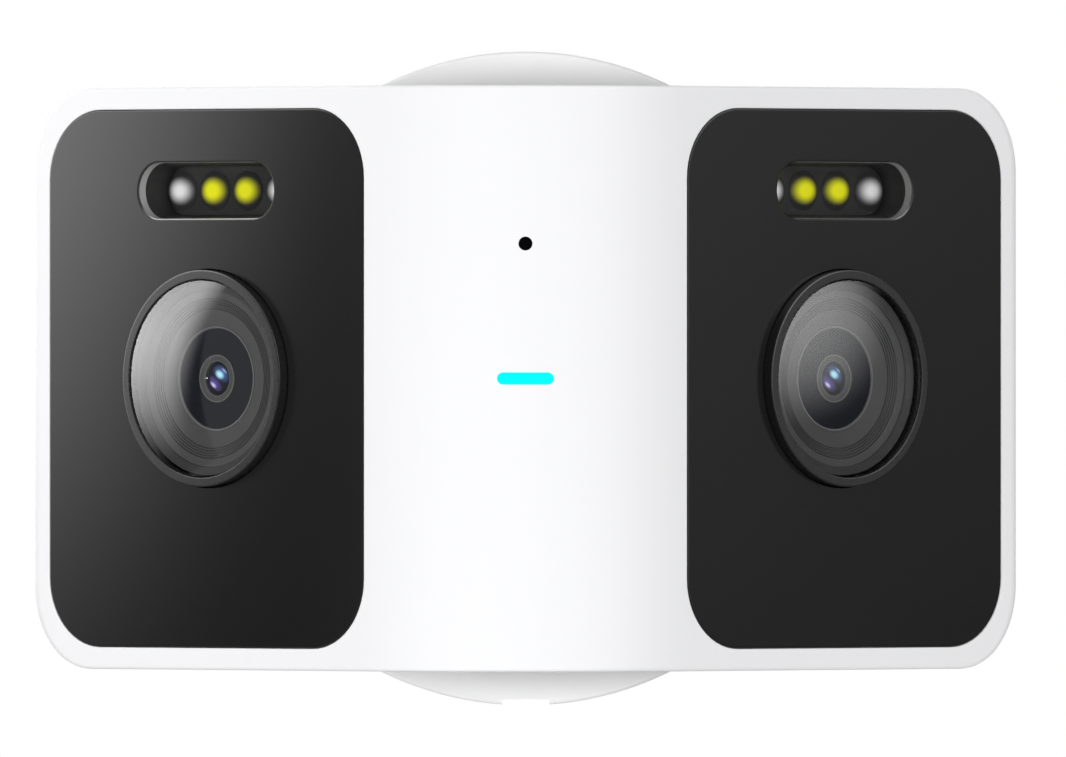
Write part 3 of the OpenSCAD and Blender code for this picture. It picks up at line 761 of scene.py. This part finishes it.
def rear_shell():
    """The white back housing, with its screw recesses and the cable's hole."""
    bm = bmesh.new()
    outer, inner = rim_stations(0.0), rim_stations(WALL)

    def radius(station):
        return BACK_EDGE_R + (BACK_TIP_R - BACK_EDGE_R) * station.tip

    loops = [side_loop(bm, inner, BACK_Y - WALL, WALL), side_loop(bm, inner, SEAM_REAR, WALL)]
    seam = [(side_point(s, SEAM_REAR, 0.0), -TO_WALL, s.out, SEAM_R) for s in outer]
    loops += rounding(bm, seam, SEAM_ARC)
    loops.append(side_loop(bm, outer, SEAM_REAR + SEAM_R + HOLD, 0.0))
    back = [(side_point(s, BACK_Y, 0.0), s.out, TO_WALL, radius(s)) for s in outer]
    loops += rounding(bm, back, BACK_ARC)
    inwards = 0.998
    held = [(v.co.x * inwards, v.co.y, v.co.z * inwards) for v in loops[-1]]
    loops.append(points_loop(bm, held))
    bridge_all(bm, loops)
    fill(bm, loops[0])
    fill(bm, loops[-1])
    cut(piece("head_back", bm, "head", ["shell"], "rear_shell"), back_cutter())


def back_cutter():
    """Recesses for the eight housing screws, and the cable's hole."""
    bm = bmesh.new()
    screw_x, screw_z = (-66, -22, 22, 66), (-46.2, 46.2)
    for x in screw_x:
        for z in screw_z:
            bar(bm, 2.7 * MM, BACK_Y - 2.4 * MM, BACK_Y + PAST, x * MM, z * MM)
    grommet_lo, grommet_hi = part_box("cable_grommet")
    bar(bm, 5 * MM, BACK_Y - 6 * MM, BACK_Y + PAST, 0, (grommet_lo.z + grommet_hi.z) / 2)
    return bm


# ---- Wing parts ----------------------------------------------------------------------


def lens_hole(grow):
    return circle(RING_R + RING_GAP, grow=grow, cx=-LENS_SHIFT)


def light_hole(grow):
    return pill(**LIGHT, grow=grow, cz=LIGHT_Z)


def panel(name, sign):
    """The dark panel, with its openings for the lens and the light."""
    bm = bmesh.new()
    edge, hole_edge = 0.22 * MM, 0.1 * MM
    holes = [lens_hole, light_hole]
    flat_part(bm, lambda g: rounded_rect(**PANEL, grow=g), holes, 0.0, PANEL_T, edge, hole_edge)
    piece(f"{name}_front_panel", bm, "head", ["panel"], f"{name}_panel", wing_matrix(sign))


def light_cup(name, sign):
    """The reflector cup: a bright lip, a thin satin rim and a dark inside."""
    lip = [(0.02, 1.0), (0.02, 0.08), (0.04, 0.05), (0.16, 0.15), (0.16, 1.0)]
    rim = [(0.17, 1.9), (0.17, 0.3), (0.19, 0.3), (0.19, 1.9)]
    inside = [(0.1, 7), (0.1, 2.0), (0.3, 2.0), (0.42, 3.4), (0.9, 6.9), (0.9, 7)]
    bm = bmesh.new()
    for index, steps in ((1, lip), (0, rim), (2, inside)):
        part = bmesh.new()
        loops = []
        for inset, d in in_mm(steps):
            outline = pill(LIGHT["w"] - 2 * inset, LIGHT["h"] - 2 * inset, cz=LIGHT_Z)
            loops.append(add_loop(part, outline, d))
        bridge_all(part, loops + [loops[0]])
        merge(bm, part, index)
    materials = ["cup", "trim", "cup_dark"]
    piece(f"{name}_cup", bm, "head", materials, f"{name}_light_cup", wing_matrix(sign))


def light_window(name, sign):
    """The clear window over the diodes."""
    bm = bmesh.new()
    less = 0.9 * MM
    size = dict(w=LIGHT["w"] - less, h=LIGHT["h"] - less, cz=LIGHT_Z)
    flat_part(bm, lambda g: pill(**size, grow=g), [], 2.1 * MM, 3.3 * MM, 0.15 * MM)
    node = f"{name}_light_window"
    let_light_through(piece(f"{name}_window", bm, "head", ["window"], node, wing_matrix(sign)))


def diodes():
    """Shallow diode lenses, two white outside two yellow on each wing."""
    kinds = {-1.5: "white", -0.5: "warm", 0.5: "warm", 1.5: "white"}
    rim, edge, top, foot, steps = 3.6, 7.0, 6.15, 7.1, 12
    bend = (rim**2 + (edge - top) ** 2) / (2 * (edge - top))
    outline = [(0, foot), (rim, foot)]
    for k in range(steps):
        r = rim * (1 - k / steps)
        outline.append((r, top + bend - math.sqrt(bend**2 - r**2)))
    outline.append((0, top))
    for name, sign in SIDES.items():
        for number, (step, kind) in enumerate(kinds.items(), 1):
            bm = turned([(0, in_mm(outline))], n=48, closed=False)
            place = Matrix.Translation((step * LED_PITCH + LED_SHIFT, 0, LIGHT_Z))
            origin = wing_matrix(sign) @ place
            label = f"{name}_diode_{number}"
            piece(label, bm, "head", [f"led_{kind}"], f"{kind}_leds", origin=origin)


def lens_ring(name, matrix):
    """The raised ring round the dome."""
    back = 8.1 * MM
    corners = [(RING_R, -RING_OUT, 0.22 * MM), (RING_IN, -RING_OUT, 0.12 * MM)]
    corners += [(RING_IN, back, 0), (RING_R, back, 0)]
    bm = turned([(0, rounded_profile(corners))])
    piece(f"{name}_ring", bm, "head", ["ring"], f"{name}_lens_ring", matrix)


def dome(name, matrix):
    """The clear dome: two balls' caps that meet at the rim."""
    ball = (DOME_R**2 + DOME_H**2) / (2 * DOME_H)
    centre = DOME_RIM - DOME_H + ball
    steps = 40

    def cap(radius, rim):
        turns = [math.asin(rim / radius) * i / steps for i in range(steps + 1)]
        return [(radius * math.sin(a), centre - radius * math.cos(a)) for a in turns]

    outside, inside = cap(ball, DOME_R), cap(ball - DOME_T, DOME_R - 0.1 * MM)
    shapes = [(0, outside), (1, [outside[-1]] + inside[::-1])]
    bm = turned(shapes, closed=False)
    node = f"{name}_dome_window"
    let_light_through(piece(f"{name}_dome", bm, "head", ["dome", "dome_inside"], node, matrix))


def hood(name, matrix):
    """The hood: a sloping rim darkened with painted shade, a flat band, fine grooves, a smooth slope and a
    grey lip.
    """
    steps = [(15.85, 0.5), (15.6, 0.5), (14.6, 0.8)]
    for i in range(5):
        r, d = 14.45 - 0.45 * i, 0.9 + 0.12 * i
        steps += [(r, d), (r - 0.04, d + 0.35), (r - 0.18, d + 0.35), (r - 0.22, d + 0.03)]
    steps += [(12.0, 1.5), (9.5, 2.1), (9.5, 8.1), (15.85, 8.1)]
    lip = [(9.48, 2.3), (9.4, 1.98), (9.15, 1.98), (9.03, 2.3), (9.03, 4.0), (9.48, 4.0)]
    # The sloping rim takes the darker hood black, as painted shade.
    rim = [(17.35, -0.25), (15.95, 0.35), (15.86, 0.6), (15.86, 2.0), (17.35, 2.0)]
    bm = turned([(index, in_mm(shape)) for index, shape in enumerate((steps, lip, rim))])
    fold = 16
    materials = ["hood", "lip", "hood_rim"]
    piece(f"{name}_hood", bm, "head", materials, f"{name}_lens_hood", matrix, fold)


def barrel(name, matrix):
    """The lens barrel: a glossy body and well, and a ring round the pupil between two fine lips."""
    body = [(9.0, 2.15, 0.1), (4.3, 2.3, 0), (4.3, 19, 0), (9.0, 19, 0.2)]
    ring = [(4.1, 2.24, 0), (3.26, 2.26, 0), (3.26, 2.9, 0), (4.1, 2.9, 0)]
    outer_lip = [(4.28, 2.12, 0.05), (4.1, 2.12, 0.05), (4.1, 2.9, 0), (4.28, 2.9, 0)]
    inner_lip = [(3.26, 2.18, 0.05), (3.1, 2.18, 0.05), (3.1, 2.9, 0), (3.26, 2.9, 0)]
    well = [(3.09, 2.6, 0), (2.6, 3.3, 0), (2.6, 5.0, 0), (3.09, 5.0, 0)]
    shapes = ((0, body), (0, well), (1, ring), (2, outer_lip), (2, inner_lip))
    bm = turned([(index, rounded_profile(in_mm(shape))) for index, shape in shapes])
    fold = 25
    materials = ["barrel", "pupil_ring", "lip"]
    piece(f"{name}_barrel", bm, "head", materials, f"{name}_lens_barrel", matrix, fold)


def front_glass(name, matrix):
    """The small domed glass in the barrel's well."""
    r, edge, bulge = 2.5, 3.05, 0.75
    turns = [math.radians(a) for a in range(0, 90, 6)]
    outline = [(0, 4.9), (2.55, 4.9), (2.55, 3.1)]
    outline += [(r * math.cos(a), edge - bulge * math.sin(a)) for a in turns]
    outline += [(0, edge - bulge)]
    # The front glass's colour holds painted glints.
    M[f"{name}_glass"] = glass_with_painted_glints(f"{name}_glass_with_painted_glints", matrix @ Vector((0, 2.6 * MM, 0)))
    bm = turned([(0, in_mm(outline))], n=96, closed=False)
    piece(f"{name}_front_glass", bm, "head", [f"{name}_glass"], f"{name}_lens_glass", matrix)


def lens(name, sign):
    matrix = wing_matrix(sign) @ Matrix.Translation((-LENS_SHIFT, 0, 0))
    for part in (lens_ring, dome, hood, barrel, front_glass):
        part(name, matrix)


# ---- Base -------------------------------------------------------------------------------


def base_cover():
    """The round base cover, open at the back, with a bore for the neck."""
    lo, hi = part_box("base_cover")
    r, front, back = hi.z, lo.y, hi.y
    bore, wall = 11.0 * MM, 2.5 * MM
    corners = [(r, back, 0.2 * MM), (r, front, 0.8 * MM), (bore, front, 0.3 * MM)]
    corners += [(bore, front + wall, 0), (r - wall, front + wall, 0), (r - wall, back, 0)]
    bm = bmesh.new()
    lathe(bm, rounded_profile(corners, 6), 240)
    cover = piece("base_cover_shell", bm, "base", ["base"], "base_cover")
    cutter = bmesh.new()
    prism(cutter, notch(r), front - 2 * MM, back + 2 * MM)
    for z in (-48 * MM, 48 * MM):
        bar(cutter, 3.8 * MM, front - 3 * MM, front + 1.6 * MM, 0, z)
        bar(cutter, 1.8 * MM, front - 3 * MM, front + 6 * MM, 0, z)
    cut(cover, cutter)


def notch(r):
    """Outline of the notch at the bottom of a base of radius r, with round lips."""
    half_w, h, lip, n = 4.4 * MM, 1.1 * MM, 0.6 * MM, 6
    foot, lip_z, top_z = -r - 4 * MM, -r - 0.3 * MM, -r + h - lip
    outline = [(-half_w - lip, foot)] + arc(-half_w - lip, lip_z, lip, 90, 0, n)
    outline += arc(-half_w + lip, top_z, lip, 180, 90, n)
    outline += arc(half_w - lip, top_z, lip, 90, 0, n)
    return outline + arc(half_w + lip, lip_z, lip, 180, 90, n) + [(half_w + lip, foot)]


# ---- CAD nodes that stay, with their own finish -------------------------------------------

KEPT = {
    "shell": "head_bracket neck_knuckle service_flap",
    "rubber": "head_gasket microphone_boot cable_grommet base_gasket",
    "steel": "case_screws carrier_screws bracket_screws cover_screws tilt_bolt tilt_nut "
    "base_plate base_posts swivel_nut card_socket",
    "black_board": "light_boards",
    "board": "sensor_boards indicator_board main_board power_board",
    "chip": "main_board_chips memory_card reset_switch",
    "aluminium": "heat_spreader",
    "status": "status_light_pipe",
    "sensor": "image_sensors",
    "filter": "left_ir_cut_filter right_ir_cut_filter",
    "parts": "power_parts",
    "dark": "microphone antennas speaker reset_button tilt_washers terminal_block "
    "left_lens_carrier right_lens_carrier",
}


def finish_kept_nodes():
    for key, nodes in KEPT.items():
        for name in nodes.split():
            obj = frame["nodes"][name]
            obj.data.materials.clear()
            obj.data.materials.append(M[key])


# ---- Stage, lights and camera ---------------------------------------------------------------


def staged(name, bm, at, material):
    """Makes the mesh an object at a place, with one material, which is no part of the camera."""
    obj = bpy.data.objects.new(name, make_mesh(bm, name))
    obj.location = at
    bpy.context.collection.objects.link(obj)
    obj.data.materials.append(material)
    return obj


def floor():
    """A pale floor under the camera, which takes its shadow and fades out towards its edge."""
    bm = bmesh.new()
    bmesh.ops.create_circle(bm, cap_ends=True, segments=128, radius=0.6)
    mat = moulded("floor_white", grey(0.8), vary=0.01, rough=(0.8, 0.9), grain=200)
    fade = spot(mat.node_tree, (0, 0, 0), 0.16, 0.59, seen=(1, 1, 1), smooth=True)
    mat.node_tree.links.new(fade, shader_of(mat).inputs["Alpha"])
    staged("floor", bm, (0, -0.07, -0.16), mat).visible_glossy = False


def ramp_along(tree, way, start, end):
    """Smooth rise from 0 to 1 between two distances along a way in the object's own space."""
    distance = vector_math(tree, "DOT_PRODUCT", texture_place(tree), way)
    return ranged(tree, distance, 0, 1, at=(start, end), smooth=True)


def reflection_card(name, bm, at, strength, ramps):
    """A soft box that shows only as a reflection."""
    mat = bpy.data.materials.new(name)
    mat.use_nodes = True
    tree = mat.node_tree
    tree.nodes.remove(shader_of(mat))
    light = tree.nodes.new("ShaderNodeEmission")
    level = strength
    for ramp in ramps:
        level = product(tree, ramp_along(tree, *ramp), level)
    tree.links.new(level, light.inputs["Strength"])
    tree.links.new(light.outputs[0], tree.nodes["Material Output"].inputs["Surface"])
    obj = staged(name, bm, at, mat)
    obj.visible_camera = obj.visible_diffuse = obj.visible_shadow = obj.visible_transmission = False


def left_card():
    """Upright card beside the left wing. It fades towards its front and its bottom."""
    bm = bmesh.new()
    front, back, bottom, top = -0.139, 0.45, -0.12, 0.5
    corners = [(0, front, bottom), (0, back, bottom), (0, back, top), (0, front, top)]
    bm.faces.new(points_loop(bm, corners))
    slope = Vector((0, 13.5, 3.2))
    start = slope.dot(Vector((0, -0.134, 0.03)))
    ramps = [(slope, start, start + 1.0), ((0, 0, 1), -0.1, 0.055)]
    reflection_card("left_card", bm, (-0.25, 0, 0), 3.45, ramps)


def direction(around, up):
    """A unit vector by its angles from straight ahead (right is plus) and from level."""
    az, el = math.radians(around), math.radians(up)
    return Vector((math.cos(el) * math.sin(az), -math.cos(el) * math.cos(az), math.sin(el)))


def right_card():
    """Part of a ball in front of the right wing, brightest where the dome mirrors it to its upper left."""
    bm = bmesh.new()
    radius, n = 1.5, 24
    turns = [25 + 105 * i / n for i in range(n + 1)]
    rises = [-40 + 125 * j / n for j in range(n + 1)]
    rows = [points_loop(bm, [direction(turn, rise) * radius for turn in turns]) for rise in rises]
    for a, b in zip(rows, rows[1:]):
        for i in range(n):
            bm.faces.new((a[i], a[i + 1], b[i + 1], b[i]))
    ramp = (Vector((0.542, -0.542, 0.643)), 0.47 * radius, 1.05 * radius)
    reflection_card("right_card", bm, (PANEL_X, PANEL_Y, 0), 2.6, [ramp])


def top_card():
    """Level card overhead, which draws the bright line on the edges that face up."""
    bm = bmesh.new()
    half_w, front, back, z = 0.4, -0.55, 0.2, 0.6
    corners = [(-half_w, front, z), (half_w, front, z), (half_w, back, z), (-half_w, back, z)]
    bm.faces.new(points_loop(bm, corners))
    reflection_card("top_card", bm, (0, 0, 0), 1.2, [((0, 0, 1), 0.0, 0.5)])


def area_light(name, around, up, distance, size, power, tall=None, reflected=False):
    """A soft light, placed by its angles from straight ahead (right is plus) and from level."""
    data = bpy.data.lights.new(name, "AREA")
    data.energy, data.size = power, size
    data.shape, data.size_y = "RECTANGLE", tall or size
    obj = bpy.data.objects.new(name, data)
    way = direction(around, up)
    obj.location = Vector((0, AIM_Y, 0)) + way * distance
    obj.rotation_mode = "QUATERNION"
    obj.rotation_quaternion = (-way).to_track_quat("-Z", "Y")
    obj.visible_camera = False
    obj.visible_glossy = reflected
    bpy.context.collection.objects.link(obj)


def world():
    """White to look at, a soft grey as light, and darker still in reflections."""
    w = bpy.data.worlds.new("studio")
    bpy.context.scene.world = w
    w.use_nodes = True
    tree = w.node_tree
    sky = tree.nodes["Background"]
    sky.inputs["Color"].default_value = (1, 1, 1, 1)
    path = tree.nodes.new("ShaderNodeLightPath")
    seen, diffuse, glossy = 1.0, 0.31, 0.2
    level = ranged(tree, path.outputs["Is Glossy Ray"], diffuse, glossy, at=(0, 1))
    strength = ranged(tree, path.outputs["Is Camera Ray"], level, seen, at=(0, 1))
    tree.links.new(strength, sky.inputs["Strength"])


def camera():
    """Square on to the front, from far enough away to look flat."""
    lens_mm, sensor_mm, view_w, shift_x = 1000, 36, 0.1919, 0.00135
    data = bpy.data.cameras.new("camera")
    data.lens, data.sensor_width = lens_mm, sensor_mm
    data.clip_end = 20
    obj = bpy.data.objects.new("camera", data)
    distance = view_w / sensor_mm * lens_mm
    obj.location = (shift_x, AIM_Y - distance, 0)
    obj.rotation_euler = (math.radians(90), 0, 0)
    bpy.context.collection.objects.link(obj)
    bpy.context.scene.camera = obj


front_shell()
rear_shell()
for side_name, side_sign in SIDES.items():
    for make in (panel, light_cup, light_window, lens):
        make(side_name, side_sign)
diodes()
base_cover()
finish_kept_nodes()
floor()
world()
camera()
left_card()
right_card()
top_card()
area_light("front_right", 26, 0, 1.6, 0.9, 15.5, tall=0.16)
area_light("front_left", -56, 0, 2.2, 0.5, 26.9, tall=0.16)
area_light("top", 20, 80, 1.3, 0.8, 2.0)
area_light("back_right", 158, 25, 1.5, 0.9, 7.5, reflected=True)
area_light("back_left", -158, 25, 1.5, 0.9, 7.5, reflected=True)

scene = bpy.context.scene
scene.view_settings.view_transform = "Standard"
scene.view_settings.look = "None"
